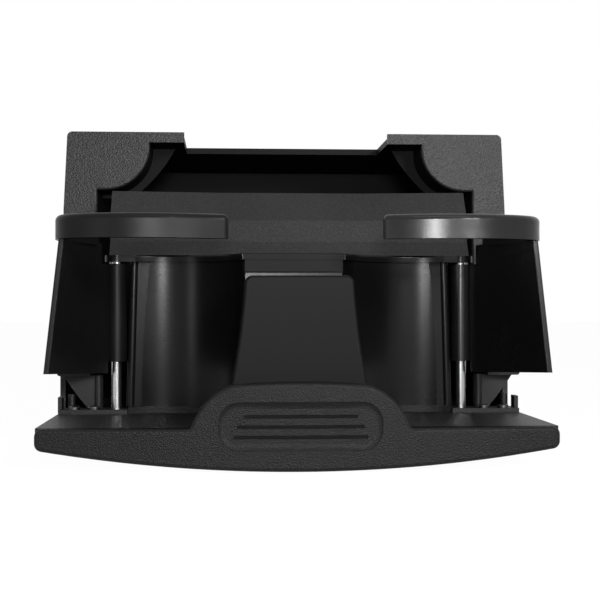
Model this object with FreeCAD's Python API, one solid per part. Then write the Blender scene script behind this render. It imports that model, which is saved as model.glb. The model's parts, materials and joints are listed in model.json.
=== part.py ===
import FreeCAD, Part
import math
import os

os.makedirs("parts", exist_ok=True)
Vec = FreeCAD.Vector

# Pull-out centre console cup holder with two swing arms, drawn with its drawer out.
# Millimetres, Z up, X to the right, Y into the console.
# The origin is the centre of the four base screws, on the housing's underside.
# Housing pieces are drawn with y from the flange's front face.
# Drawer and arm pieces are drawn with y from the fascia's back plane.

# Housing
flange_setback = 60.0
flange_thick = 3.0
flange_side = 16.3
flange_draft = 1.8
flange_draft_z = 113.5
flange_top_z = 151.3
flange_corner_round = 2.5
strip_underside_z = 146.9
opening_half = 92.0
opening_edge_round = 1.3
lobe_radius = 21.5
lobe_inset = 4.0
lobe_drop = 2.4
lobe_wall = 2.5
lobe_depth = 28.0
gusset_thick = 2.5
gusset_in_x = 55.0
gusset_mid_x = 67.5
gusset_mid_z = 129.5
gusset_out_x = 77.0
gusset_clearance = 1.1
gusset_lap = 0.5
wall = 2.5
back_gap = 0.5
roof_thick = 3.0
roof_drop = 0.6
roof_cut_half = 50.0
roof_cut_depth = 44.0
shelf_z = 42.5
base_thick = 3.5
base_hole_radius = 2.25
base_hole_x = 75.0
base_hole_y = 45.0

# Drawer
travel = 110.0
shut_gap = 0.5
floor_z = 17.5
floor_thick = 3.0
floor_half = 105.3
drawer_side_gap = 1.9
ledge_clearance_share = 0.8
floor_length = 79.0
ledge_height = 3.0
ledge_from_hinge = 5.7
ledge_reveal = 1.2
front_wall_thick = 2.5
front_wall_half = 84.0
front_wall_bottom = 7.2

# Runners
rail_inset = 8.2
rail_stem = 1.8
rail_head = 4.4
rail_head_thick = 1.8
rail_head_top = 12.6
rail_foot_thick = 1.6
rail_foot_in = 12.0
rail_foot_out = 3.6
rail_front = 2.0
rail_back_gap = 2.0
rail_screw_in = 8.4
rail_screw_shares = (0.3, 0.9)
runner_clearance = 0.3
channel_half = 3.8
channel_bottom = 5.8
channel_front = 30.0
channel_length = 136.0
cross_bar_depth = 6.0
cross_bar_bottom = 7.4
cross_bar_lap = 0.5

# Fascia
fascia_thick_end = 3.5
fascia_thick_mid = 9.5
fascia_end_low = 8.9
fascia_mid_low = 0.5
fascia_end_round = 3.2
fascia_shell = 2.5
fascia_edge_round = 1.6
fascia_boss_radius = 3.2
fascia_screw_x = [28.0, 80.0]
fascia_screw_z = 9.5
fascia_screw_cover = 0.8
fascia_screw_tip = 1.0
fascia_bow_over = 1.0
hump_top_z = 35.9
hump_shoulder_z = 34.6
hump_shoulder_x = 27.5
hump_shoulder_round = 8.0
hump_side_z = 27.0
hump_side_x = 38.8
hump_foot_x = 43.6
hump_foot_round = 2.5
hump_side_slope = (0.8, 0.6)
hump_shoulder_slope = 0.2
pad_half = 34.0
pad_low = 7.5
pad_high = 29.5
pad_corner = 9.5
pad_depth = 1.1
pad_edge_round = 4.0
groove_width = 1.4
groove_depth = 0.7
groove_half = [26.6, 25.2, 22.6]
groove_low = 14.2
groove_pitch = 4.07

# Cups and their wells
cup_x = 56.5
cup_y = 37.5
cup_radius = 36.0
well_wall = 2.5
cusp_y = 44.5
well_top = 86.5
well_end_top = 64.2
well_end_mid = 66.8
well_end_low = 67.8
well_cusp_lap = 4.0
post_top_x = 71.5
post_foot_x = 73.2
post_radius = 2.0
post_web_half = 1.0
post_web_in = 2.0
post_web_gap = 0.4
lip_end_x = 70.5
lip_edge_round = 0.8
lip_pad_margin = 1.0
lip_arm_width = 5.0
post_behind_cup = 38.5
lip_thick = 3.0
lip_overhang = 1.6
lip_back = 84.0
lip_front_side = 70.5
cusp_block_half = 21.4
cusp_block_drop = 5.2
cusp_block_proud = 1.2

# Divider tongue
tongue_front = 0.6
tongue_top = 78.5
tongue_top_half = 22.0
tongue_mid_half = 24.6
tongue_low_half = 31.5
tongue_corner = 3.0
tongue_wall = 2.5
tongue_edge_round = 1.2
tongue_bulge = 0.6
tongue_lean = 0.2
tongue_cup_gap = 0.6
tongue_inner_corner = 1.0

# Upper trim
trim_half = 82.5
trim_crease = 34.0
trim_low_y = 70.6
trim_band_1 = 96.0
trim_band_2 = 106.0
trim_top_z = 120.0
trim_step_1 = 4.6
trim_step_2 = 1.0
trim_lean = 15.0
trim_side_pull = 5.0
trim_wall = 2.5
trim_shelf_depth = 4.0
trim_shelf_root = 0.8
trim_band_wall = 3.0
trim_band_1_rise = 0.4
trim_band_2_drop = 0.6
trim_foot_wall = 4.2
trim_pull_share = 0.3
trim_foot = 2.0
trim_screw_x = 45.0
trim_screw_margin = 1.0

# Hinges and arms
hinge_x = 79.5
hinge_y = 75.5
pin_radius = 2.4
pin_clearance = 0.05
pin_foot = 15.0
barrel_radius = 4.5
pin_top = 89.0
pin_chamfer = 0.4
knuckle_low = 41.0
spring_seat = 66.0
knuckle_top = 85.6
skirt_gap = 0.35
ring_bottom = 93.5
ring_height = 10.0
ring_width = 5.0
ring_round = 2.3
ring_end_round = 2.3
right_free_end = 32.3
left_free_end = 29.5
ring_end_y = 5.0
ring_path = [(42.0, 1.0), (52.0, -1.6), (64.0, -2.8), (76.0, -1.8), (87.0, 1.8), (95.4, 6.8),
             (99.9, 13.5), (101.2, 22.0), (100.6, 31.0), (97.8, 45.0), (91.3, 63.0)]
skirt_wall = 2.5
skirt_strip_round = 0.7
skirt_front_y = 12.0
skirt_low_front_x = 105.6
skirt_low_bulge_x = 98.4
skirt_top_front_x = 98.9
skirt_top_bulge_x = 96.4
skirt_bulge_y = 42.0
skirt_rear_x = 90.6
skirt_rear_y = 63.0
skirt_root_x = 84.0
skirt_root_y = 76.5
skirt_root_step = 1.5
skirt_rear_step = 1.0
skirt_ring_lap = 1.0
skirt_low_lap = 0.5
skirt_cut_reach = 30.0
skirt_back_cut_x = 6.5
skirt_back_cut_y = 8.0
skirt_front_low = 38.4
skirt_back_low = 35.6
stand_deg = 1.2

# Hinge brackets
bracket_gap = 0.2
bracket_overhang = 0.5
bracket_arm_reach = 14.8
bracket_front = 66.0
bracket_base = 2.0
bracket_arm_bottom = 34.6
bracket_arm_thick = 3.0
bracket_arm_depth = 10.0
bracket_web = 2.5
bracket_web_overlap = 5.0
bracket_window_z = 23.5
bracket_tab_height = 7.3
bracket_tab_depth = 7.0
bracket_tab_thick = 1.8
bracket_post_radius = 1.7
bracket_post_back = 3.6
bracket_knob_radius = 1.6
bracket_knob_in = 6.0
bracket_knob_height = 8.5
bracket_screw_y = 3.2
bracket_screw_out = 7.8
bracket_screw_in = 16.8

# Torsion springs
spring_wire = 0.4
spring_coil_radius = 2.9
spring_room = 3.6
spring_turns = 9
spring_tang = 2.4

# Damper and rack
tooth_module = 0.8
gear_teeth = 14
gear_thick = 4.0
gear_bottom = 8.6
gear_y = 10.5
gear_bore_clearance = 0.05
pressure_angle = math.radians(20)
root_depth_share = 1.25
stub_radius = 1.5
mesh_backlash = 0.12
mesh_back_off = 0.1
rack_bar = 2.0
rack_start = 4.0
rack_end = 126.0
rack_bottom = 8.4
damper_radius = 8.0
damper_height = 4.4
damper_ear_reach = 15.0
damper_ear_half = 3.5
damper_ear_thick = 1.8
damper_ear_turns = (0.0, math.radians(65))
damper_stub_proud = 0.6

# Catch
catch_strip_half = 6.0
catch_strip_thick = 0.6
catch_bump = 2.2
catch_length = 40.0
catch_seat_length = 12.0
catch_ramp = 4.0
catch_lift = 0.5
striker_half = 5.0
striker_depth = 4.0

# Screws, and how far a cutting tool reaches past a surface
screw_radius = 1.4
screw_head_radius = 2.6
screw_head = 1.6
screw_length = 7.0
over = 1.0

flange_y = -flange_setback
drawer_y = flange_y - shut_gap - travel
flange_half_low = opening_half + flange_side
flange_half_top = flange_half_low - flange_draft
housing_depth = shut_gap + channel_length + back_gap + wall
rail_back = housing_depth - wall - rail_back_gap
lower_half = floor_half + drawer_side_gap
rail_x = lower_half - rail_inset
ledge_half = hinge_x - ledge_from_hinge
bracket_in_x = ledge_half + bracket_gap
bracket_out_x = floor_half + bracket_overhang
bracket_arm_in = bracket_out_x - bracket_arm_reach
floor_under = floor_z - floor_thick
ledge_z = floor_z + ledge_height
lip_top = well_top + lip_thick
lip_pad_radius = barrel_radius + lip_pad_margin
lobe_x = opening_half - lobe_inset
lobe_z = strip_underside_z - lobe_drop
roof_under = strip_underside_z - roof_drop
side_outer = opening_half + wall
pitch_radius = tooth_module * gear_teeth / 2
rack_face_x = rail_x - channel_half - rack_bar
striker_front = channel_length - cross_bar_depth - striker_depth
catch_bump_y = striker_front - shut_gap - catch_ramp
gear_x = rack_face_x - tooth_module - mesh_back_off - pitch_radius


def box(x0, x1, y0, y1, z0, z1):
    return Part.makeBox(x1 - x0, y1 - y0, z1 - z0, Vec(x0, y0, z0))


def cylinder(x, y, z, radius, height, axis=Vec(0, 0, 1)):
    return Part.makeCylinder(radius, height, Vec(x, y, z), axis)


def line(a, b):
    return Part.LineSegment(Vec(*a), Vec(*b)).toShape()


def arc(a, middle, b):
    return Part.Arc(Vec(*a), Vec(*middle), Vec(*b)).toShape()


def path_edges(steps, place):
    """Edges of a path: each step is an end point, or a middle and an end point for an arc."""
    points = [place(*steps[0])]
    edges = []
    for step in steps[1:]:
        if isinstance(step[0], tuple):
            middle = place(*step[0])
            end = place(*step[1])
            edges.append(arc(points[-1], middle, end))
        else:
            end = place(*step)
            edges.append(line(points[-1], end))
        points.append(end)
    return edges


def front_face(steps, y):
    return Part.Face(Part.Wire(path_edges(steps, lambda x, z: (x, y, z))))


def front_prism(steps, y0, y1):
    return front_face(steps, y0).extrude(Vec(0, y1 - y0, 0))


def plan_wire(steps, z):
    return Part.Wire(path_edges(steps, lambda x, y: (x, y, z)))


def plan_prism(steps, z0, z1):
    return Part.Face(plan_wire(steps, z0)).extrude(Vec(0, 0, z1 - z0))


def side_wire(points, x):
    closed = points + [points[0]]
    return Part.makePolygon([Vec(x, y, z) for y, z in closed])


def mirrored(shape):
    return shape.mirror(Vec(0, 0, 0), Vec(1, 0, 0))


def both_sides(shape):
    return shape.fuse(mirrored(shape))


def screw(x, y, z, direction, length=screw_length):
    """A pan-head screw whose head seats at the point and whose shank runs along direction."""
    axis = Vec(*direction)
    shank = Part.makeCylinder(screw_radius, length, Vec(x, y, z), axis)
    head = Part.makeCylinder(screw_head_radius, screw_head, Vec(x, y, z), axis * -1)
    rim = [e for e in head.Edges if e.Closed and (e.CenterOfMass - Vec(x, y, z)).Length > screw_head * 0.9]
    head = head.makeFillet(screw_head * 0.5, rim)
    return shank.fuse(head).removeSplitter()


def screw_hole(x, y, z, direction, length=screw_length):
    return Part.makeCylinder(screw_radius, length, Vec(x, y, z), Vec(*direction))


def save(name, shape, y):
    solids = [part.copy() for part in shape.Solids]
    out = solids[0] if len(solids) == 1 else Part.makeCompound(solids)
    out.translate(Vec(0, y, 0))
    out.exportStep("parts/" + name + ".step")


def rail_screw_places():
    return [(side * (rail_x - rail_screw_in), rail_front + (rail_back - rail_front) * share)
            for side in (-1, 1) for share in rail_screw_shares]


def damper_screw_places():
    reach = damper_ear_reach - damper_ear_half
    return [(-gear_x + reach * math.cos(turn), gear_y + reach * math.sin(turn))
            for turn in damper_ear_turns]


def catch_screw_place():
    return (0.0, catch_bump_y + catch_ramp - catch_length + catch_seat_length / 2)


def opening_edges(shell):
    """Front edges of the lobes and of the opening's upright sides."""
    picked = []
    for edge in shell.Edges:
        bounds = edge.BoundBox
        if bounds.YMax > 0.01 or bounds.ZMin < shelf_z - 0.01:
            continue
        middle = edge.CenterOfMass
        upright = abs(abs(middle.x) - opening_half) < 0.1
        on_lobe = edge.Curve.TypeId == "Part::GeomCircle" and edge.Curve.Radius > lobe_radius - 0.5
        if upright or on_lobe:
            picked.append(edge)
    return picked


def housing_shell():
    """Flange, lobes, roof, walls and base, moulded as one."""
    flange = front_prism([
        (-flange_half_low, shelf_z), (-flange_half_low, flange_draft_z),
        (-flange_half_top, flange_top_z), (flange_half_top, flange_top_z),
        (flange_half_low, flange_draft_z), (flange_half_low, shelf_z),
        (-flange_half_low, shelf_z)], 0, flange_thick)
    opening = front_prism([
        (-opening_half, shelf_z), (-opening_half, strip_underside_z),
        (opening_half, strip_underside_z), (opening_half, shelf_z),
        (-opening_half, shelf_z)], 0, lobe_depth)
    lobe = cylinder(lobe_x, 0, lobe_z, lobe_radius, lobe_depth, Vec(0, 1, 0))
    lobe_corner = box(lobe_x, opening_half, 0, lobe_depth, lobe_z - lobe_radius, lobe_z)
    lobe = lobe.fuse(lobe_corner)
    lobe_core = cylinder(lobe_x, flange_thick, lobe_z, lobe_radius - lobe_wall, lobe_depth, Vec(0, 1, 0))
    core_corner = box(lobe_x, opening_half, flange_thick, flange_thick + lobe_depth,
                      lobe_z - lobe_radius + lobe_wall, lobe_z)
    lobe = lobe.common(opening).cut(lobe_core.fuse(core_corner))
    flange = flange.cut(opening).fuse(both_sides(lobe))
    gusset_low_z = trim_top_z + gusset_clearance
    gusset_top_z = roof_under + gusset_lap
    gusset_side_x = side_outer - gusset_lap
    gusset = front_prism([
        (gusset_in_x, gusset_top_z), (gusset_side_x, gusset_top_z),
        (gusset_side_x, gusset_low_z), (gusset_out_x, gusset_low_z),
        ((gusset_mid_x, gusset_mid_z), (gusset_in_x, gusset_top_z))],
        lobe_depth - gusset_thick, lobe_depth)
    roof = box(-side_outer, side_outer, 0, housing_depth, roof_under, roof_under + roof_thick)
    side = box(opening_half, side_outer, 0, housing_depth, shelf_z, roof_under + roof_thick)
    shelf = box(opening_half, lower_half + wall, 0, housing_depth, shelf_z, shelf_z + wall)
    lower = box(lower_half, lower_half + wall, 0, housing_depth, 0, shelf_z + wall)
    base = box(-lower_half - wall, lower_half + wall, 0, housing_depth, 0, base_thick)
    back = box(-side_outer, side_outer, housing_depth - wall, housing_depth, 0, roof_under + roof_thick)
    back = back.fuse(box(-lower_half - wall, lower_half + wall, housing_depth - wall, housing_depth,
                         0, shelf_z + wall))
    shell = roof.fuse([flange, both_sides(side), both_sides(shelf), both_sides(lower), base, back])
    shell = shell.fuse(both_sides(gusset))
    shell = shell.cut(box(-roof_cut_half, roof_cut_half, -over, roof_cut_depth, roof_under - over,
                          flange_top_z + over))
    for side_x in (-1, 1):
        for side_y in (-1, 1):
            hole = cylinder(side_x * base_hole_x, flange_setback + side_y * base_hole_y, -over,
                            base_hole_radius, base_thick + 2 * over)
            shell = shell.cut(hole)
    for x, y in rail_screw_places():
        shell = shell.cut(screw_hole(x, y, 0.0, (0, 0, 1), base_thick))
    for x, y in damper_screw_places() + [catch_screw_place()]:
        shell = shell.cut(screw_hole(x, y, 0.0, (0, 0, 1), base_thick))
    shell = shell.removeSplitter()
    corners = [e for e in shell.Edges
               if abs(e.CenterOfMass.z - flange_top_z) < 0.01
               and abs(abs(e.CenterOfMass.x) - flange_half_top) < 0.01]
    shell = shell.makeFillet(flange_corner_round, corners)
    return shell.makeFillet(opening_edge_round, opening_edges(shell))


def guide_rail():
    """T section rail with a foot that is screwed to the base."""
    stem = box(rail_x - rail_stem / 2, rail_x + rail_stem / 2, rail_front, rail_back,
               base_thick, rail_head_top)
    head = box(rail_x - rail_head / 2, rail_x + rail_head / 2, rail_front, rail_back,
               rail_head_top - rail_head_thick, rail_head_top)
    foot = box(rail_x - rail_foot_in, rail_x + rail_foot_out, rail_front, rail_back,
               base_thick, base_thick + rail_foot_thick)
    rail = stem.fuse([head, foot]).removeSplitter()
    for x, y in rail_screw_places():
        if x > 0:
            rail = rail.cut(screw_hole(x, y, base_thick, (0, 0, 1), rail_foot_thick))
    return rail


def runner_channel():
    """Channel under the tray that wraps the rail's head."""
    body = box(rail_x - channel_half, rail_x + channel_half, channel_front, channel_length,
               channel_bottom, floor_under)
    head_half = rail_head / 2 + runner_clearance
    head_low = rail_head_top - rail_head_thick - runner_clearance
    front = channel_front - over
    back = channel_length + over
    slot = box(rail_x - head_half, rail_x + head_half, front, back, head_low,
               rail_head_top + runner_clearance)
    stem_half = rail_stem / 2 + runner_clearance
    slit = box(rail_x - stem_half, rail_x + stem_half, front, back, channel_bottom - over,
               head_low + runner_clearance)
    return body.cut(slot.fuse(slit))


def fascia_screw_places():
    return [(side * x, fascia_screw_z) for side in (-1, 1) for x in fascia_screw_x]


def trim_screw_places():
    return [(side * trim_screw_x, lip_back - screw_head_radius - trim_screw_margin)
            for side in (-1, 1)]


def bracket_screw_places():
    y = bracket_front + bracket_screw_y
    return [(bracket_out_x - bracket_screw_out, y), (bracket_out_x - bracket_screw_in, y)]


def drawer_tray():
    """Floor plate, raised ledge, front wall, runner channels and rear bar, moulded as one."""
    floor = box(-floor_half, floor_half, 0, floor_length, floor_under, floor_z)
    ledge = box(-ledge_half, ledge_half, cusp_y - cusp_block_proud, floor_length, floor_z, ledge_z)
    ledge = ledge.cut(both_sides(cup_disc(cup_radius - ledge_reveal, floor_z, ledge_z)))
    ledge = ledge.cut(both_sides(box(cup_x, ledge_half, cusp_y - cusp_block_proud,
                                     cup_y + cup_radius * ledge_clearance_share, floor_z, ledge_z)))
    front = box(-front_wall_half, front_wall_half, 0, front_wall_thick, front_wall_bottom, floor_under)
    bar = box(-rail_x, rail_x, channel_length - cross_bar_depth, channel_length,
              cross_bar_bottom, floor_under)
    bar = bar.cut(both_sides(box(rail_x - channel_half + cross_bar_lap, rail_x + channel_half, 0,
                                 channel_length, 0, floor_under)))
    tray = floor.fuse([ledge, front, bar, both_sides(runner_channel())])
    for x, z in fascia_screw_places():
        tray = tray.cut(screw_hole(x, front_wall_thick, z, (0, -1, 0), front_wall_thick))
    for side in (-1, 1):
        for x, y in bracket_screw_places():
            tray = tray.cut(screw_hole(side * x, y, floor_z, (0, 0, -1), floor_thick))
        tray = tray.cut(cylinder(side * hinge_x, hinge_y, pin_foot, pin_radius, floor_z))
    return tray.removeSplitter()


def fascia_outline(inset):
    half = floor_half - inset
    top = floor_z - inset
    shoulder = hump_shoulder_x - inset * hump_shoulder_slope
    side = hump_side_x - inset * hump_side_slope[0]
    side_z = hump_side_z - inset * hump_side_slope[1]
    foot = hump_foot_x - inset
    end_low = fascia_end_low + inset
    return [
        (half, top), (foot, top),
        ((side, side_z), (shoulder, hump_shoulder_z - inset)),
        ((0, hump_top_z - inset), (-shoulder, hump_shoulder_z - inset)),
        ((-side, side_z), (-foot, top)), (-half, top), (-half, end_low),
        ((0, fascia_mid_low + inset), (half, end_low)), (half, top)]


def round_outline(body, corners, radius):
    """Round the edges that run front to back at the given corners and their mirror places."""
    picked = []
    for edge in body.Edges:
        bounds = edge.BoundBox
        if bounds.XLength + bounds.ZLength > 0.1:
            continue
        for x, z in corners:
            if abs(abs(bounds.XMin) - x) < 0.1 and abs(bounds.ZMin - z) < 0.1:
                picked.append(edge)
    return body.makeFillet(radius, picked)


def fascia_block(inset, skin):
    """The fascia's outline carried back from its bowed front, less an inset and a skin."""
    half = floor_half + fascia_bow_over
    bow = plan_prism([
        (-half, -fascia_thick_end + skin),
        ((0, -fascia_thick_mid + skin), (half, -fascia_thick_end + skin)),
        (half, over), (-half, over), (-half, -fascia_thick_end + skin)], 0, hump_top_z + over)
    outline = front_prism(fascia_outline(inset), -fascia_thick_mid - over, 0)
    return outline.common(bow)


def bow_y(x):
    """How far the fascia's bowed front stands at x."""
    rise = fascia_thick_mid - fascia_thick_end
    half = floor_half + fascia_bow_over
    radius = (half * half + rise * rise) / (2 * rise)
    return -fascia_thick_mid + radius - math.sqrt(radius * radius - x * x)


def thumb_pad():
    """Tool for the shallow dish in the hump: its floor follows the bow and its rim is soft."""
    floor_end = bow_y(pad_half) + pad_depth
    front = -fascia_thick_mid - pad_edge_round * 2
    floor_mid = -fascia_thick_mid + pad_depth
    tool = plan_prism([
        (-pad_half, front), (-pad_half, floor_end), ((0, floor_mid), (pad_half, floor_end)),
        (pad_half, front), (-pad_half, front)], pad_low, pad_high)
    corners = [e for e in tool.Edges if e.BoundBox.XLength + e.BoundBox.ZLength < 0.01]
    tool = tool.makeFillet(pad_corner, corners)
    rim = [e for e in tool.Edges if e.BoundBox.YMin > floor_mid - 0.1]
    return tool.makeFillet(pad_edge_round, rim)


def grip_grooves():
    """Tools for the three grooves, whose floors follow the bow."""
    grooves = []
    front = -fascia_thick_mid - over
    for row, half in enumerate(groove_half):
        z = groove_low + row * groove_pitch
        floor_mid = -fascia_thick_mid + pad_depth + groove_depth
        floor_end = bow_y(half) + pad_depth + groove_depth
        grooves.append(plan_prism([
            (-half, front), (-half, floor_end), ((0, floor_mid), (half, floor_end)), (half, front),
            (-half, front)], z - groove_width / 2, z + groove_width / 2))
    return grooves


def fascia():
    """Bowed front trim with its hump grip, a shallow thumb pad and three grooves."""
    body = fascia_block(0, 0)
    body = round_outline(body, [(floor_half, floor_z), (floor_half, fascia_end_low)], fascia_end_round)
    body = round_outline(body, [(hump_foot_x, floor_z)], hump_foot_round)
    body = round_outline(body, [(hump_shoulder_x, hump_shoulder_z)], hump_shoulder_round)
    front_edges = [e for e in body.Edges
                   if e.BoundBox.YMax < -fascia_thick_end + 0.3 and e.Length > 0.2]
    body = body.makeFillet(fascia_edge_round, front_edges)
    bosses = [cylinder(x, -fascia_thick_mid, z, fascia_boss_radius, fascia_thick_mid, Vec(0, 1, 0))
              for x, z in fascia_screw_places()]
    hollow = fascia_block(fascia_shell, fascia_shell).cut(bosses)
    body = body.cut(hollow)
    body = body.cut(thumb_pad())
    for groove in grip_grooves():
        body = body.cut(groove)
    for x, z in fascia_screw_places():
        body = body.cut(screw_hole(x, 0, z, (0, -1, 0), fascia_thick_end - fascia_screw_cover))
    return body


def cup_disc(radius, z0, z1):
    return cylinder(cup_x, cup_y, z0, radius, z1 - z0)


def lip_plate(z0, z1):
    inner = cup_radius - lip_overhang
    plate = box(0, lip_end_x, cusp_y - lip_overhang, lip_back, z0, z1)
    plate = plate.fuse(box(0, hinge_x, lip_front_side, lip_back, z0, z1))
    plate = plate.fuse(cylinder(hinge_x, hinge_y, z0, lip_pad_radius, z1 - z0))
    plate = plate.fuse(box(hinge_x - lip_arm_width, hinge_x, hinge_y, lip_back, z0, z1))
    return plate.cut(cup_disc(inner, z0 - over, z1 + over))


def lip_front_edges(body):
    """Top edges of the lip's front, along the cusp and round both cups."""
    picked = []
    for edge in body.Edges:
        bounds = edge.BoundBox
        on_top = abs(bounds.ZMin - lip_top) < 0.01 and bounds.ZLength < 0.01
        if on_top and bounds.YMax < lip_back - over and abs(edge.CenterOfMass.x) < lip_end_x - over:
            picked.append(edge)
    return picked


def cup_well():
    """Back wall with two concave wells, centre cusp, end posts and lip, moulded as one."""
    outer = cup_radius + well_wall
    ring = cup_disc(outer, ledge_z, well_top)
    ring = ring.common(box(0, cup_x + outer, cusp_y, cup_y + outer, ledge_z, well_top))
    cusp = box(0, cup_x - cup_radius + well_cusp_lap, cusp_y, cusp_y + well_wall, ledge_z, well_top)
    wells = ring.fuse(cusp).cut(cup_disc(cup_radius, ledge_z - over, well_top + over))
    side_cut = front_prism([
        (-over, ledge_z - over), (well_end_low, ledge_z - over),
        ((well_end_mid, (ledge_z + well_top) / 2), (well_end_top, well_top)),
        (-over, well_top), (-over, ledge_z - over)], 0, lip_back)
    wells = wells.common(side_cut)
    post_y = cup_y + post_behind_cup
    ends = [Part.Circle(Vec(post_foot_x, post_y, ledge_z), Vec(0, 0, 1), post_radius),
            Part.Circle(Vec(post_top_x, post_y, well_top), Vec(0, 0, 1), post_radius)]
    post = Part.makeLoft([Part.Wire([end.toShape()]) for end in ends], True, True)
    web = box(cup_x + post_web_in, post_top_x, post_y - post_web_half, post_y + post_web_half, ledge_z,
              well_top)
    web = web.cut(cup_disc(cup_radius + post_web_gap, ledge_z - over, well_top + over))
    half = wells.fuse([post, web, lip_plate(well_top, lip_top)])
    block = box(0, cusp_block_half, cusp_y - cusp_block_proud, cusp_y + well_wall,
                well_top - cusp_block_drop, well_top)
    body = both_sides(half.fuse(block))
    for side in (-1, 1):
        body = body.cut(cylinder(side * hinge_x, hinge_y, well_top - over, pin_radius,
                                 lip_thick + 2 * over))
    body = body.removeSplitter()
    body = body.makeFillet(lip_edge_round, lip_front_edges(body))
    for x, y in trim_screw_places():
        body = body.cut(screw_hole(x, y, well_top, (0, 0, 1), lip_thick))
    for side in (-1, 1):
        body = body.cut(cylinder(side * (hinge_x + spring_coil_radius), hinge_y, well_top - over,
                                 spring_wire, spring_tang))
    return body.removeSplitter()


def tongue_outline(inset, bottom):
    half_top = tongue_top_half - inset
    top = tongue_top - inset
    corner = tongue_corner if inset == 0 else tongue_inner_corner
    turn = corner * (1 - math.sqrt(0.5))
    mid_z = (tongue_top + floor_z) / 2
    return [
        (-half_top + corner, top), (half_top - corner, top),
        ((half_top - turn, top - turn), (half_top + tongue_lean, top - corner)),
        ((tongue_mid_half - inset + tongue_bulge, mid_z), (tongue_low_half - inset, bottom)),
        (-tongue_low_half + inset, bottom),
        ((-tongue_mid_half + inset - tongue_bulge, mid_z), (-half_top - tongue_lean, top - corner)),
        ((-half_top + turn, top - turn), (-half_top + corner, top))]


def divider_tongue():
    """Flared divider between the cups, a shell open below."""
    body = front_prism(tongue_outline(0, floor_z), tongue_front, cusp_y - cusp_block_proud)
    clear = cup_radius + tongue_cup_gap
    for side in (-1, 1):
        body = body.cut(cylinder(side * cup_x, cup_y, 0, clear, well_top))
    edges = [e for e in body.Edges
             if e.BoundBox.YMax < tongue_front + 0.01 and e.BoundBox.ZMin > floor_z - 0.1
             and e.BoundBox.ZMax > floor_z + over]
    body = body.makeFillet(tongue_edge_round, edges)
    hollow = front_prism(tongue_outline(tongue_wall, floor_z - over), tongue_front + tongue_wall,
                         cusp_y - cusp_block_proud - tongue_wall)
    for side in (-1, 1):
        hollow = hollow.cut(cylinder(side * cup_x, cup_y, 0, clear + tongue_wall, well_top))
    return body.cut(hollow)


def trim_section(x, pull):
    """Closed profile of the upper trim at one station, pulled forward at its top."""
    y0 = trim_low_y
    y1 = y0 + trim_step_1
    y2 = y1 + trim_step_2 - pull * trim_pull_share
    y3 = y2 + trim_lean - pull
    front = [(y0, lip_top), (y1, trim_band_1), (y2, trim_band_2), (y3, trim_top_z)]
    back = [(y3 + trim_shelf_depth, trim_top_z), (y3 + trim_shelf_depth, trim_top_z - trim_wall),
            (y3 + trim_shelf_root, trim_top_z - trim_wall),
            (y2 + trim_band_wall, trim_band_2 - trim_band_2_drop),
            (y1 + trim_band_wall, trim_band_1 + trim_band_1_rise), (y0 + trim_foot_wall, lip_top)]
    return side_wire(front + back, x)


def upper_trim():
    """Faceted textured panel that stands on the lip behind the cups."""
    stations = [(-trim_half, trim_side_pull), (-trim_crease, 0.0), (trim_crease, 0.0),
                (trim_half, trim_side_pull)]
    parts = []
    for (xa, pa), (xb, pb) in zip(stations, stations[1:]):
        parts.append(Part.makeLoft([trim_section(xa, pa), trim_section(xb, pb)], True, True))
    body = parts[0].fuse(parts[1:])
    foot = box(-trim_half, trim_half, trim_low_y + trim_wall, lip_back, lip_top, lip_top + trim_foot)
    body = body.fuse(foot)
    for x, y in trim_screw_places():
        body = body.cut(screw_hole(x, y, lip_top, (0, 0, 1), trim_foot))
    return body.removeSplitter()


def spline_edge(points, z):
    curve = Part.BSplineCurve()
    curve.interpolate([Vec(x, y, z) for x, y in points])
    return curve.toShape()


def inset_points(points, width):
    """Points moved to the left of the direction of travel, square to the path."""
    moved = []
    last = len(points) - 1
    for index, (x, y) in enumerate(points):
        xa, ya = points[max(index - 1, 0)]
        xb, yb = points[min(index + 1, last)]
        run = math.hypot(xb - xa, yb - ya)
        moved.append((x - (yb - ya) / run * width, y + (xb - xa) / run * width))
    return moved


def ring_band(free_end_x):
    """Smooth band from the free end round the front corner and back along the side."""
    outer_path = [(free_end_x, ring_end_y)] + ring_path
    inner_path = inset_points(outer_path, ring_width)
    outer = spline_edge(outer_path, ring_bottom)
    inner = spline_edge(inner_path, ring_bottom)
    free_end = line((*inner_path[0], ring_bottom), (*outer_path[0], ring_bottom))
    back_end = line((*outer_path[-1], ring_bottom), (*inner_path[-1], ring_bottom))
    wire = Part.Wire(Part.__sortEdges__([outer, back_end, inner, free_end]))
    band = Part.Face(wire).extrude(Vec(0, 0, ring_height))
    corners = [e for e in band.Edges
               if e.BoundBox.ZLength > 1 and e.CenterOfMass.x < free_end_x + ring_width / 2]
    band = band.makeFillet(ring_end_round, corners)
    top = ring_bottom + ring_height
    rim = [e for e in band.Edges
           if abs(e.CenterOfMass.z - top) < 0.01 and abs(e.CenterOfMass.y - back_end.CenterOfMass.y) > 1]
    return band.makeFillet(ring_round, rim)


def skirt_wire(front_x, bulge_x, z):
    """Plan of the skirt at one height, from its front strip back to the hinge barrel."""
    k = skirt_wall
    outer = [(front_x, skirt_front_y), ((bulge_x, skirt_bulge_y), (skirt_rear_x, skirt_rear_y)),
             (skirt_root_x, skirt_root_y)]
    inner = [(skirt_root_x - k, skirt_root_y - skirt_root_step),
             (skirt_rear_x - k, skirt_rear_y - skirt_rear_step),
             ((bulge_x - k, skirt_bulge_y), (front_x - k, skirt_front_y)), (front_x, skirt_front_y)]
    return plan_wire(outer + inner, z)


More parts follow.
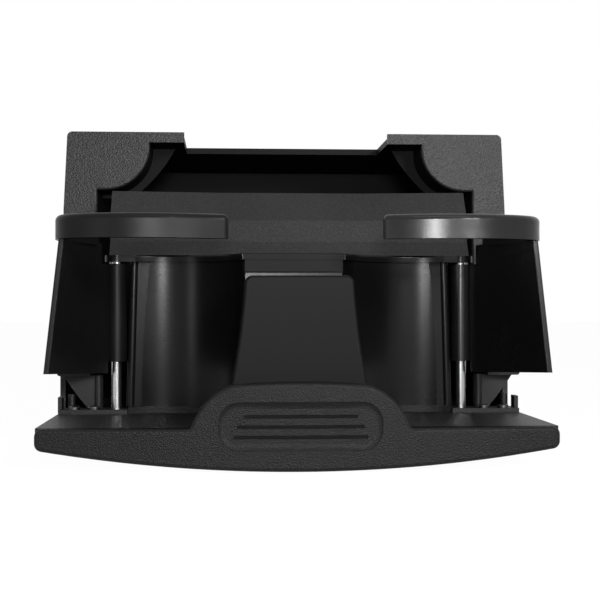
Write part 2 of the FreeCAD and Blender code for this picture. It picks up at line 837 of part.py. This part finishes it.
def skirt():
    """Flared side wall below the ring, back to the hinge barrel."""
    body = Part.makeLoft([
        skirt_wire(skirt_low_front_x, skirt_low_bulge_x, skirt_back_low - skirt_low_lap),
        skirt_wire(skirt_top_front_x, skirt_top_bulge_x, ring_bottom + skirt_ring_lap)], True, True)
    strip = [e for e in body.Edges if e.BoundBox.YMax < skirt_front_y + 0.5 and e.BoundBox.ZLength > 10]
    body = body.makeFillet(skirt_strip_round, strip)
    slope = (skirt_front_low - skirt_back_low) / (hinge_y - skirt_front_y)
    reach = skirt_cut_reach
    front_y = skirt_front_y - reach
    back_y = hinge_y + reach
    under = Part.Face(side_wire([
        (front_y, skirt_front_low + slope * reach), (back_y, skirt_back_low - slope * reach),
        (back_y, 0.0), (front_y, 0.0)], hinge_x - reach))
    return body.cut(under.extrude(Vec(reach * 2, 0, 0)))


def swing_arm(free_end_x):
    """Right-hand arm: ring band, skirt and hinge barrel, moulded as one."""
    wall_part = skirt()
    ring_top = ring_bottom + ring_height
    over_lip = cylinder(hinge_x, hinge_y, knuckle_top, lip_pad_radius + skirt_gap, ring_top - knuckle_top)
    foot_room = cylinder(hinge_x, hinge_y, 0, lip_pad_radius, knuckle_low)
    wall_part = wall_part.cut(over_lip.fuse(foot_room))
    behind = box(0, hinge_x + skirt_back_cut_x, lip_front_side - skirt_back_cut_y, hinge_y * 2,
                 knuckle_top, ring_top)
    wall_part = wall_part.cut(behind)
    barrel = cylinder(hinge_x, hinge_y, knuckle_low, barrel_radius, knuckle_top - knuckle_low)
    arm = wall_part.fuse([ring_band(free_end_x), barrel])
    arm = arm.cut(cylinder(hinge_x, hinge_y, 0, pin_radius + pin_clearance, ring_top))
    arm = arm.cut(cylinder(hinge_x, hinge_y, spring_seat, spring_room, ring_top - spring_seat))
    return arm.removeSplitter()


def hinge_pin():
    pin = cylinder(hinge_x, hinge_y, pin_foot, pin_radius, pin_top - pin_foot)
    return pin.makeChamfer(pin_chamfer, [e for e in pin.Edges if abs(e.CenterOfMass.z - pin_top) < 0.01])


def torsion_spring():
    """Coil round the pin inside the arm's barrel, with its top end held in the lip."""
    z0 = spring_seat + skirt_gap + spring_wire
    height = knuckle_top - z0 - spring_wire
    helix = Part.makeHelix(height / spring_turns, height, spring_coil_radius)
    helix.translate(Vec(hinge_x, hinge_y, z0))
    start = Vec(hinge_x + spring_coil_radius, hinge_y, z0)
    profile = Part.Wire([Part.Circle(start, Vec(0, 1, 0), spring_wire).toShape()])
    coil = Part.Wire(helix).makePipeShell([profile], True, True)
    tang = cylinder(hinge_x + spring_coil_radius, hinge_y, z0 + height, spring_wire, spring_tang)
    return coil.fuse(tang)


def hinge_bracket():
    """Foot on the tray that holds the pin's lower end, with an outrigger arm and a corner tab."""
    z0 = floor_z
    back = floor_length
    seat = z0 + bracket_base
    base = box(bracket_in_x, bracket_out_x - bracket_tab_thick / 2, bracket_front, back, z0, seat)
    web_in = bracket_arm_in - bracket_web_overlap
    web_out = bracket_out_x - bracket_tab_thick
    web = front_prism([
        (web_in, z0), (bracket_arm_in, z0),
        ((bracket_arm_in + bracket_web_overlap, bracket_window_z), (web_out, bracket_arm_bottom)),
        (web_in, bracket_arm_bottom), (web_in, z0)], back - bracket_web, back)
    arm = box(bracket_arm_in, bracket_out_x, back - bracket_arm_depth, back, bracket_arm_bottom,
              bracket_arm_bottom + bracket_arm_thick)
    arm = arm.makeFillet(bracket_arm_thick * 0.4, [
        e for e in arm.Edges if e.BoundBox.YLength > 1 and e.CenterOfMass.x > bracket_out_x - 0.1])
    tab = box(bracket_out_x - bracket_tab_thick, bracket_out_x, back - bracket_tab_depth, back, z0,
              z0 + bracket_tab_height)
    post = cylinder(web_in + bracket_post_radius, back - bracket_post_back, z0, bracket_post_radius,
                    bracket_arm_bottom - z0)
    knob = cylinder(bracket_out_x - bracket_knob_in, back - bracket_post_back, z0, bracket_knob_radius,
                    bracket_knob_height)
    body = base.fuse([web, arm, tab, post, knob])
    body = body.cut(cylinder(hinge_x, hinge_y, z0 - over, pin_radius, bracket_base + 2 * over))
    for x, y in bracket_screw_places():
        body = body.cut(screw_hole(x, y, z0, (0, 0, 1), bracket_base))
    return body.removeSplitter()


def gear_tooth_half_angle(radius):
    """Half the angle that a tooth fills at a radius, for involute flanks."""
    base_radius = pitch_radius * math.cos(pressure_angle)
    at_pitch = (math.pi * tooth_module / 2 - mesh_backlash) / 2 / pitch_radius
    involute_pitch = math.tan(pressure_angle) - pressure_angle
    if radius <= base_radius:
        return at_pitch + involute_pitch
    angle = math.acos(base_radius / radius)
    return at_pitch + involute_pitch - (math.tan(angle) - angle)


def damper_gear():
    root = pitch_radius - root_depth_share * tooth_module
    tip = pitch_radius + tooth_module
    radii = [root, pitch_radius * 0.96, pitch_radius, pitch_radius + tooth_module * 0.55, tip]
    points = []
    for tooth in range(gear_teeth):
        middle = math.pi + 2 * math.pi * tooth / gear_teeth
        flank = [(r, gear_tooth_half_angle(r)) for r in radii]
        for r, half in flank:
            points.append((r, middle - half))
        for r, half in reversed(flank):
            points.append((r, middle + half))
    corners = [Vec(-gear_x + r * math.cos(a), gear_y + r * math.sin(a), gear_bottom) for r, a in points]
    face = Part.Face(Part.makePolygon(corners + [corners[0]]))
    gear = face.extrude(Vec(0, 0, gear_thick))
    return gear.cut(cylinder(-gear_x, gear_y, 0, stub_radius + gear_bore_clearance, floor_z))


def damper_rack():
    """Toothed strip on the left channel's inner face; a gap faces the gear's first tooth."""
    pitch = math.pi * tooth_module
    pitch_x = -(rack_face_x - tooth_module)
    tip_x = pitch_x + tooth_module
    root_x = pitch_x - tooth_module
    slope = math.tan(pressure_angle)
    half_pitch_width = (pitch / 2 - mesh_backlash) / 2
    half_tip = half_pitch_width - tooth_module * slope
    half_root = half_pitch_width + tooth_module * slope
    gear_from_drawer = gear_y + shut_gap + travel
    first = math.ceil((rack_start + half_root - gear_from_drawer) / pitch - 0.5)
    last = math.floor((rack_end - half_root - gear_from_drawer) / pitch - 0.5)
    back_x = -(rail_x - channel_half)
    points = [(back_x, rack_start), (root_x, rack_start)]
    for index in range(first, last + 1):
        y = gear_from_drawer + (index + 0.5) * pitch
        points += [(root_x, y - half_root), (tip_x, y - half_tip), (tip_x, y + half_tip),
                   (root_x, y + half_root)]
    points += [(root_x, rack_end), (back_x, rack_end), (back_x, rack_start)]
    face = Part.Face(Part.makePolygon([Vec(x, y, rack_bottom) for x, y in points]))
    return face.extrude(Vec(0, 0, floor_under - rack_bottom))


def damper_body():
    """Sealed damper housing with two ears and the stub that the gear turns on."""
    z0 = base_thick
    disc = cylinder(-gear_x, gear_y, z0, damper_radius, damper_height)
    stub_top = gear_bottom + gear_thick + damper_stub_proud
    body = disc.fuse(cylinder(-gear_x, gear_y, z0, stub_radius, stub_top - z0))
    reach = damper_ear_reach - damper_ear_half
    for x, y in damper_screw_places():
        ear = box(0, reach, -damper_ear_half, damper_ear_half, z0, z0 + damper_ear_thick)
        ear.rotate(Vec(0, 0, 0), Vec(0, 0, 1), math.degrees(math.atan2(y - gear_y, x + gear_x)))
        ear.translate(Vec(-gear_x, gear_y, 0))
        body = body.fuse([ear, cylinder(x, y, z0, damper_ear_half, damper_ear_thick)])
    rail_edge = -(rail_x - rail_foot_in) + runner_clearance
    foot_top = z0 + rail_foot_thick + runner_clearance
    body = body.cut(box(rail_edge - damper_radius * 2, rail_edge, gear_y - damper_radius * 2,
                        gear_y + damper_radius * 2, 0, foot_top))
    for x, y in damper_screw_places():
        body = body.cut(screw_hole(x, y, z0, (0, 0, 1), damper_ear_thick))
    return body.removeSplitter()


def catch_spring():
    """Bent leaf on the base whose bump holds the striker when the drawer is shut."""
    z = base_thick
    t = catch_strip_thick
    end = catch_bump_y + catch_ramp
    start = end - catch_length
    lift = z + t + catch_lift
    top = [(start, z + t), (start + catch_seat_length, z + t), (catch_bump_y - catch_ramp, lift),
           (catch_bump_y, z + t + catch_bump), (end, lift)]
    under = [(y, top_z - t) for y, top_z in reversed(top)]
    strip = Part.Face(side_wire(top + under, -catch_strip_half)).extrude(Vec(2 * catch_strip_half, 0, 0))
    x, y = catch_screw_place()
    return strip.cut(screw_hole(x, y, z - over, (0, 0, 1), catch_bump + over))


def catch_striker():
    """Block under the tray's rear bar that seats behind the leaf's bump."""
    bottom = base_thick + catch_strip_thick + catch_bump + runner_clearance
    return box(-striker_half, striker_half, striker_front, striker_front + striker_depth,
               bottom, floor_under)


def build():
    save("housing_shell", housing_shell(), flange_y)
    rail = guide_rail()
    save("right_guide_rail", rail, flange_y)
    save("left_guide_rail", mirrored(rail), flange_y)
    rail_top = base_thick + rail_foot_thick
    save("rail_screws", Part.makeCompound([screw(x, y, rail_top, (0, 0, -1), rail_top)
                                           for x, y in rail_screw_places()]), flange_y)
    save("damper_body", damper_body(), flange_y)
    save("damper_gear", damper_gear(), flange_y)
    ear_top = base_thick + damper_ear_thick
    save("damper_screws", Part.makeCompound([screw(x, y, ear_top, (0, 0, -1), ear_top)
                                             for x, y in damper_screw_places()]), flange_y)
    save("catch_spring", catch_spring(), flange_y)
    x, y = catch_screw_place()
    catch_top = base_thick + catch_strip_thick
    save("catch_screw", screw(x, y, catch_top, (0, 0, -1), catch_top), flange_y)

    save("drawer_tray", drawer_tray(), drawer_y)
    save("damper_rack", damper_rack(), drawer_y)
    save("catch_striker", catch_striker(), drawer_y)
    save("fascia", fascia(), drawer_y)
    save("fascia_screws", Part.makeCompound([
        screw(x, front_wall_thick, z, (0, -1, 0), front_wall_thick + fascia_thick_end - fascia_screw_tip)
        for x, z in fascia_screw_places()]), drawer_y)
    save("cup_well", cup_well(), drawer_y)
    save("divider_tongue", divider_tongue(), drawer_y)
    save("upper_trim", upper_trim(), drawer_y)
    save("trim_screws", Part.makeCompound([
        screw(x, y, lip_top + trim_foot, (0, 0, -1), trim_foot + lip_thick)
        for x, y in trim_screw_places()]), drawer_y)
    bracket = hinge_bracket()
    save("right_hinge_bracket", bracket, drawer_y)
    save("left_hinge_bracket", mirrored(bracket), drawer_y)
    seat_z = floor_z + bracket_base
    save("bracket_screws", Part.makeCompound([
        screw(side * x, y, seat_z, (0, 0, -1), bracket_base + floor_thick)
        for side in (-1, 1) for x, y in bracket_screw_places()]), drawer_y)
    pin = hinge_pin()
    save("right_hinge_pin", pin, drawer_y)
    save("left_hinge_pin", mirrored(pin), drawer_y)

    spring = torsion_spring()
    axis = Vec(hinge_x, hinge_y, 0)
    left_axis = Vec(-hinge_x, hinge_y, 0)
    up = Vec(0, 0, 1)
    right = swing_arm(right_free_end)
    right.rotate(axis, up, stand_deg)
    save("right_arm", right, drawer_y)
    left = mirrored(swing_arm(left_free_end))
    left.rotate(left_axis, up, stand_deg)
    save("left_arm", left, drawer_y)
    save("right_torsion_spring", spring, drawer_y)
    save("left_torsion_spring", mirrored(spring), drawer_y)


build()
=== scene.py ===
import json
import math

import bpy
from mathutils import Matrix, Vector

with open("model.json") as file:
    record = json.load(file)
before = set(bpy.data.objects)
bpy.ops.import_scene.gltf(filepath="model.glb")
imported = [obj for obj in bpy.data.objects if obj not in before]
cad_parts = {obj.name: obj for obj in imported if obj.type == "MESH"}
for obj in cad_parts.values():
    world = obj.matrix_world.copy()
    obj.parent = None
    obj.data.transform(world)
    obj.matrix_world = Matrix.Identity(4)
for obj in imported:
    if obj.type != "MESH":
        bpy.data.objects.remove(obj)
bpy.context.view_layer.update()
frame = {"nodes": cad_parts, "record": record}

# Pull-out centre console cup holder, seen from the front with its drawer out.
# The solids carry every form. Their finishes, the lamps and the camera are added here.
# Metres, in the frame of the CAD nodes.

# In each finish a cut is taken off the tone or roughness, then grain, dust and patches add
# their shares to it.

# Grain: pebbles with a finer grit over them, in broad patches
pebble_height = 0.7
grit_height = 0.5
grit_ratio = 1.9
broad_scale = 28.0
broad_tone = 0.35
grain_rough = 0.18
broad_rough = 0.06
grain_rough_cut = 0.10

# Smooth plastic: a flow ripple, dust and rubbed patches
flow_scale = 55.0
dust_scale = 2600.0
rub_scale = 22.0
flow_height = 0.8
dust_height = 0.2
rub_tone = 0.8
dust_tone = 0.3
smooth_tone_cut = 0.1
rub_rough = 0.08
dust_rough = 0.03
smooth_rough_cut = 0.05
ripple_depth = 0.00002

# Steel: fine drawn lines and worn patches
line_scale = 900.0
line_stretch = 12.0
worn_scale = 120.0
worn_tone = 0.7
line_tone = 0.4
steel_tone_cut = 0.1
worn_rough = 0.16
steel_rough_cut = 0.08
line_depth = 0.00002
steel_specular = 0.5

# Grip grooves of the fascia, with painted shade on their floors, past a pad whose floor bows as y
# = pad_y + pad_bow * x * x
pad_y = -0.1786
pad_bow = 0.531
pad_steepness = 5000.0
groove_low_z = 0.0125
groove_high_z = 0.0245
groove_steepness = 4000.0
# The next two set painted shade: a dark diffuse laid on the groove floors in place of their shade
groove_shade_share = 0.8
groove_shade_tone = 0.006

# Housing: where its grained front ends and its matt inside, darker with painted shade, starts
inside_y = -0.0585
inside_steepness = 900.0
# Painted shade: the inside's two dark tones stand in for the shadow inside the housing
inside_shade_dark = 0.002
inside_shade_light = 0.004
inside_roughness = 0.5
inside_specular = 0.06
inside_depth = 0.0002

# Duller block in the middle of the wells' lip
block_half = 0.0225
block_low_z = 0.0805
block_steepness = 2000.0
block_rough = 0.35

# Floor and world
floor_size = 12.0
floor_tone = 0.86
floor_glow = 1.04
floor_glow_share = 0.94
world_light = 0.08


class Socket:
    """A shader socket whose operators add Math nodes."""

    def __init__(self, nodes, out):
        self.nodes = nodes
        self.out = out

    def __add__(self, other):
        return self.nodes.math("ADD", self, other)

    def __radd__(self, other):
        return self.nodes.math("ADD", other, self)

    def __sub__(self, other):
        return self.nodes.math("SUBTRACT", self, other)

    def __rsub__(self, other):
        return self.nodes.math("SUBTRACT", other, self)

    def __mul__(self, other):
        return self.nodes.math("MULTIPLY", self, other)

    def __abs__(self):
        return self.nodes.math("ABSOLUTE", self)

    def clamp(self):
        return self.nodes.math("ADD", self, 0.0, clamped=True)


class Nodes:
    """A node tree that is written as expressions."""

    def __init__(self, tree):
        self.tree = tree
        tree.nodes.clear()

    def node(self, kind, settings=None, inputs=None, output=0):
        """Add one node: its settings come first, then the values or links of its sockets."""
        new = self.tree.nodes.new(kind)
        for name, value in (settings or {}).items():
            setattr(new, name, value)
        pairs = inputs.items() if isinstance(inputs, dict) else enumerate(inputs or [])
        for key, value in pairs:
            if isinstance(value, Socket):
                self.tree.links.new(value.out, new.inputs[key])
            else:
                new.inputs[key].default_value = value
        return Socket(self, new.outputs[output]) if new.outputs else None

    def math(self, operation, *values, clamped=False):
        return self.node("ShaderNodeMath", {"operation": operation, "use_clamp": clamped}, values)


def grey(value):
    return (value, value, value, 1.0)


def new_material(name):
    material = bpy.data.materials.new(name)
    material.use_nodes = True
    return material, Nodes(material.node_tree)


def object_place(nodes):
    return nodes.node("ShaderNodeTexCoord", {}, None, "Object")


def along(nodes, axis):
    """Place along one axis of the piece."""
    return nodes.node("ShaderNodeSeparateXYZ", {}, [object_place(nodes)], axis)


def ramp(distance, steepness):
    """0 up to an edge, then a short rise to 1 with the distance past it."""
    return (distance * steepness).clamp()


def noise(nodes, place, scale, detail=2.0, roughness=0.5):
    return nodes.node("ShaderNodeTexNoise", {},
                      {"Vector": place, "Scale": scale, "Detail": detail, "Roughness": roughness})


def colour_between(nodes, factor, dark, light):
    return nodes.node("ShaderNodeMix", {"data_type": "RGBA"},
                      {0: factor, 6: grey(dark), 7: grey(light)}, 2)


def raised(nodes, height, distance, strength=1.0):
    return nodes.node("ShaderNodeBump", {},
                      {"Strength": strength, "Distance": distance, "Height": height})


def surface(nodes, base, roughness, specular, normal, metallic=0.0):
    return nodes.node("ShaderNodeBsdfPrincipled", {},
                      {"Base Color": base, "Roughness": roughness, "Metallic": metallic,
                       "Specular IOR Level": specular, "Normal": normal})


def mixed(nodes, factor, first, second):
    return nodes.node("ShaderNodeMixShader", {}, [factor, first, second])


def output(nodes, shader, kind="ShaderNodeOutputMaterial"):
    nodes.node(kind, {}, {"Surface": shader})


def grained_face(nodes, dark, light, cells, depth, roughness, specular):
    """Shader of plastic with a pebbled moulding grain, with its broad patches and its tone."""
    place = object_place(nodes)
    pebble = nodes.node("ShaderNodeTexVoronoi", {"feature": "SMOOTH_F1"},
                        {"Vector": place, "Scale": cells, "Smoothness": 0.5})
    grit = noise(nodes, place, cells * grit_ratio, 3.0, 0.65)
    height = pebble * pebble_height + grit * grit_height
    broad = noise(nodes, place, broad_scale)
    tone = (height + broad * broad_tone - broad_tone).clamp()
    rough = (roughness - grain_rough_cut + height * grain_rough + broad * broad_rough).clamp()
    face = surface(nodes, colour_between(nodes, tone, dark, light), rough, specular,
                   raised(nodes, height, depth))
    return face, broad, tone


def grained_plastic(name, *finish):
    """Moulded plastic with a fine pebble grain."""
    material, nodes = new_material(name)
    face, _, _ = grained_face(nodes, *finish)
    output(nodes, face)
    return material


def fascia_plastic_groove_shade(name, *finish):
    """Grained plastic with painted shade, a dark matt diffuse, on the floors of the three grip
    grooves.
    """
    material, nodes = new_material(name)
    face, _, _ = grained_face(nodes, *finish)
    x, y, z = [along(nodes, axis) for axis in "XYZ"]
    past_pad = ramp(y - x * x * pad_bow - pad_y, pad_steepness)
    above = ramp(z - groove_low_z, groove_steepness)
    below = ramp(groove_high_z - z, groove_steepness)
    # Painted shade: the groove floors get a dark diffuse in place of the shade there
    groove_shade = nodes.node("ShaderNodeBsdfDiffuse", {}, {"Color": grey(groove_shade_tone)})
    output(nodes, mixed(nodes, past_pad * above * below * groove_shade_share, face, groove_shade))
    return material


def housing_plastic_inside_shade(name, *finish):
    """Grained on the flange's front, smooth and matt inside the housing, where a darker tone is
    painted shade.
    """
    material, nodes = new_material(name)
    face, broad, tone = grained_face(nodes, *finish)
    # Painted shade: the inside's darker tone stands in for the shadow under the roof
    inner_shade = surface(nodes, colour_between(nodes, tone, inside_shade_dark, inside_shade_light),
                    inside_roughness, inside_specular, raised(nodes, broad, inside_depth, 0.5))
    inside = ramp(along(nodes, "Y") - inside_y, inside_steepness)
    output(nodes, mixed(nodes, inside, face, inner_shade))
    return material


def smooth_plastic(name, dark, light, roughness, specular, dull_block=False):
    """Smooth moulded plastic with a faint flow ripple, dust and rubbed patches."""
    material, nodes = new_material(name)
    place = object_place(nodes)
    flow = noise(nodes, place, flow_scale)
    dust = noise(nodes, place, dust_scale, 2.0, 0.7)
    rub = noise(nodes, place, rub_scale, 4.0, 0.6)
    tone = (rub * rub_tone + dust * dust_tone - smooth_tone_cut).clamp()
    rough = roughness - smooth_rough_cut + rub * rub_rough + dust * dust_rough
    if dull_block:
        across = ramp(block_half - abs(along(nodes, "X")), block_steepness)
        above = ramp(along(nodes, "Z") - block_low_z, block_steepness)
        rough = rough + across * above * block_rough
    normal = raised(nodes, flow * flow_height + dust * dust_height, ripple_depth, 0.6)
    base = colour_between(nodes, tone, dark, light)
    output(nodes, surface(nodes, base, rough.clamp(), specular, normal))
    return material


def drawn_steel(name, dark, light, roughness):
    """Blackened or bright steel with fine drawn lines."""
    material, nodes = new_material(name)
    place = object_place(nodes)
    stretched = nodes.node("ShaderNodeMapping", {},
                           {"Vector": place, "Scale": (1.0, 1.0, line_stretch)})
    lines = noise(nodes, stretched, line_scale)
    worn = noise(nodes, place, worn_scale, 3.0)
    tone = (worn * worn_tone + lines * line_tone - steel_tone_cut).clamp()
    rough = (roughness - steel_rough_cut + worn * worn_rough).clamp()
    output(nodes, surface(nodes, colour_between(nodes, tone, dark, light), rough, steel_specular,
                          raised(nodes, lines, line_depth, 0.4), metallic=1.0))
    return material


# One finish for each material slot. After the name, all have their dark and light tone. Then
# grained: cells per metre, grain depth, roughness, specular level.
# Smooth: roughness, specular level. Steel: roughness.
finishes = {
    "housing_black": housing_plastic_inside_shade("grained_housing_inside_shade", 0.003, 0.014, 1300.0, 0.00022, 0.36, 0.25),
    "fascia_black": fascia_plastic_groove_shade("grained_fascia_groove_shade", 0.001, 0.013, 1700.0, 0.00024, 0.40, 0.12),
    "tray_black": grained_plastic("grained_tray", 0.002, 0.010, 1000.0, 0.00014, 0.42, 0.14),
    "gloss_black": smooth_plastic("gloss_wells", 0.002, 0.005, 0.24, 0.13, dull_block=True),
    "arm_black": smooth_plastic("satin_arms", 0.003, 0.006, 0.26, 0.28),
    "bracket_black": grained_plastic("nylon_bracket", 0.003, 0.010, 1500.0, 0.00006, 0.40, 0.2),
    "runner_nylon": smooth_plastic("runner_acetal", 0.03, 0.05, 0.34, 0.4),
    "damper_plastic": smooth_plastic("damper_black", 0.014, 0.024, 0.4, 0.4),
    "pin_steel": drawn_steel("blackened_pin", 0.30, 0.42, 0.26),
    "spring_steel": drawn_steel("spring_steel", 0.28, 0.4, 0.3),
    "screw_steel": drawn_steel("blackened_screws", 0.04, 0.07, 0.38),
}

# Pieces whose own surface differs from the rest of their material
own_finishes = {
    "upper_trim": grained_plastic("grained_trim", 0.012, 0.045, 1500.0, 0.00008, 0.55, 0.06),
    "divider_tongue": smooth_plastic("gloss_tongue", 0.002, 0.005, 0.46, 0.06),
    "left_arm": smooth_plastic("satin_left_arm", 0.003, 0.006, 0.36, 0.11),
}

for part in frame["record"]["subparts"]:
    name = part["node"]
    node = frame["nodes"][name]
    node.data.materials.clear()
    node.data.materials.append(own_finishes.get(name, finishes[part["material_slot"]]))


# Floor and world: white where the camera or a reflection looks, plain light otherwise

def sees_background(nodes):
    """1 for a ray from the camera, a reflection or clear material, else 0."""
    rays = nodes.node("ShaderNodeLightPath").out.node.outputs
    camera, glossy, through = [Socket(nodes, rays[kind]) for kind in
                               ("Is Camera Ray", "Is Glossy Ray", "Is Transmission Ray")]
    return (camera + glossy + through).clamp()


def pale_floor():
    bpy.ops.object.select_all(action="DESELECT")
    bpy.ops.mesh.primitive_plane_add(size=floor_size, location=(0.0, 0.0, 0.0))
    floor = bpy.context.object
    floor.name = "floor"
    material, nodes = new_material("pale_floor")
    lit = nodes.node("ShaderNodeBsdfDiffuse", {}, {"Color": grey(floor_tone)})
    glow = nodes.node("ShaderNodeEmission", {}, {"Color": grey(1.0), "Strength": floor_glow})
    output(nodes, mixed(nodes, sees_background(nodes) * floor_glow_share, lit, glow))
    floor.data.materials.append(material)


def plain_world():
    world = bpy.data.worlds.new("studio")
    bpy.context.scene.world = world
    world.use_nodes = True
    nodes = Nodes(world.node_tree)
    light = nodes.node("ShaderNodeBackground", {}, {"Color": grey(1.0), "Strength": world_light})
    white = nodes.node("ShaderNodeBackground", {}, {"Color": grey(1.0), "Strength": 1.0})
    output(nodes, mixed(nodes, sees_background(nodes), light, white), "ShaderNodeOutputWorld")


def softbox(name, place, aim, width, height, radiance):
    """Area lamp at a place, turned to face its aim."""
    toward = (Vector(place) - Vector(aim)).normalized()
    lamp = bpy.data.lights.new(name, "AREA")
    lamp.shape = "RECTANGLE"
    lamp.size = width
    lamp.size_y = height
    lamp.energy = radiance * 4.0 * width * height
    box = bpy.data.objects.new(name, lamp)
    bpy.context.collection.objects.link(box)
    box.location = place
    box.rotation_euler = toward.to_track_quat("Z", "Y").to_euler()


def photo_camera():
    """Camera that stands where the photo's did."""
    camera = bpy.data.cameras.new("camera")
    camera.lens = 75.0
    camera.sensor_width = 36.0
    camera.clip_start = 0.01
    camera.clip_end = 50.0
    holder = bpy.data.objects.new("camera", camera)
    bpy.context.collection.objects.link(holder)
    holder.location = (-0.030, -0.672, 0.0645)
    holder.rotation_euler = (math.radians(90.46), 0.0, math.radians(-3.43))
    bpy.context.scene.camera = holder


pale_floor()
plain_world()
softbox("front_lamp", place=(-0.014, -0.69, 0.135), aim=(0.0, -0.13, 0.09),
        width=0.07, height=0.06, radiance=110.0)
softbox("right_softbox", place=(0.25, -0.72, 0.27), aim=(0.02, -0.12, 0.10),
        width=0.16, height=0.16, radiance=40.0)
softbox("left_softbox", place=(-0.45, -0.62, 0.10), aim=(-0.02, -0.12, 0.06),
        width=0.08, height=0.14, radiance=5.0)
softbox("top_softbox", place=(0.05, -0.60, 0.9), aim=(0.0, -0.1, 0.08),
        width=0.5, height=0.25, radiance=2.2)
photo_camera()

bpy.context.scene.view_settings.view_transform = "Standard"
